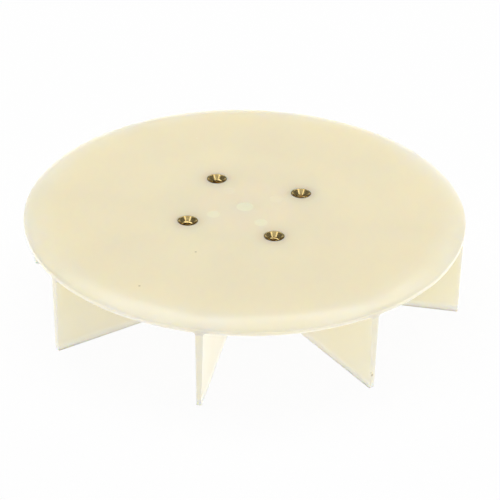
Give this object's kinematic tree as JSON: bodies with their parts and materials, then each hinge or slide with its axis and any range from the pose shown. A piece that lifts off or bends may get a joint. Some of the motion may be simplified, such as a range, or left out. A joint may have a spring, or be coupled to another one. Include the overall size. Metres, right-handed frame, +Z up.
{
  "type": "stirrer fan blade",
  "caption": "Round flat-topped plastic stirrer fan with straight radial blades beneath and brass threaded inserts on a circle in its top.",
  "frame": {"origin": "on the fan's axis, in the plane of the blades' lower edges", "axes": "+Z up along the axis towards the flat top; +X along one blade"},
  "size_m": [0.15, 0.15, 0.0318],
  "materials": {
    "moulded_plastic": "cream, natural, satin moulded",
    "insert_brass": "turned, slightly dulled"
  },
  "bodies": {
    "root": {"fan_moulding": "moulded_plastic", "threaded_insert_1": "insert_brass", "threaded_insert_2": "insert_brass", "threaded_insert_3": "insert_brass", "threaded_insert_4": "insert_brass"}
  },
  "joints": []
}
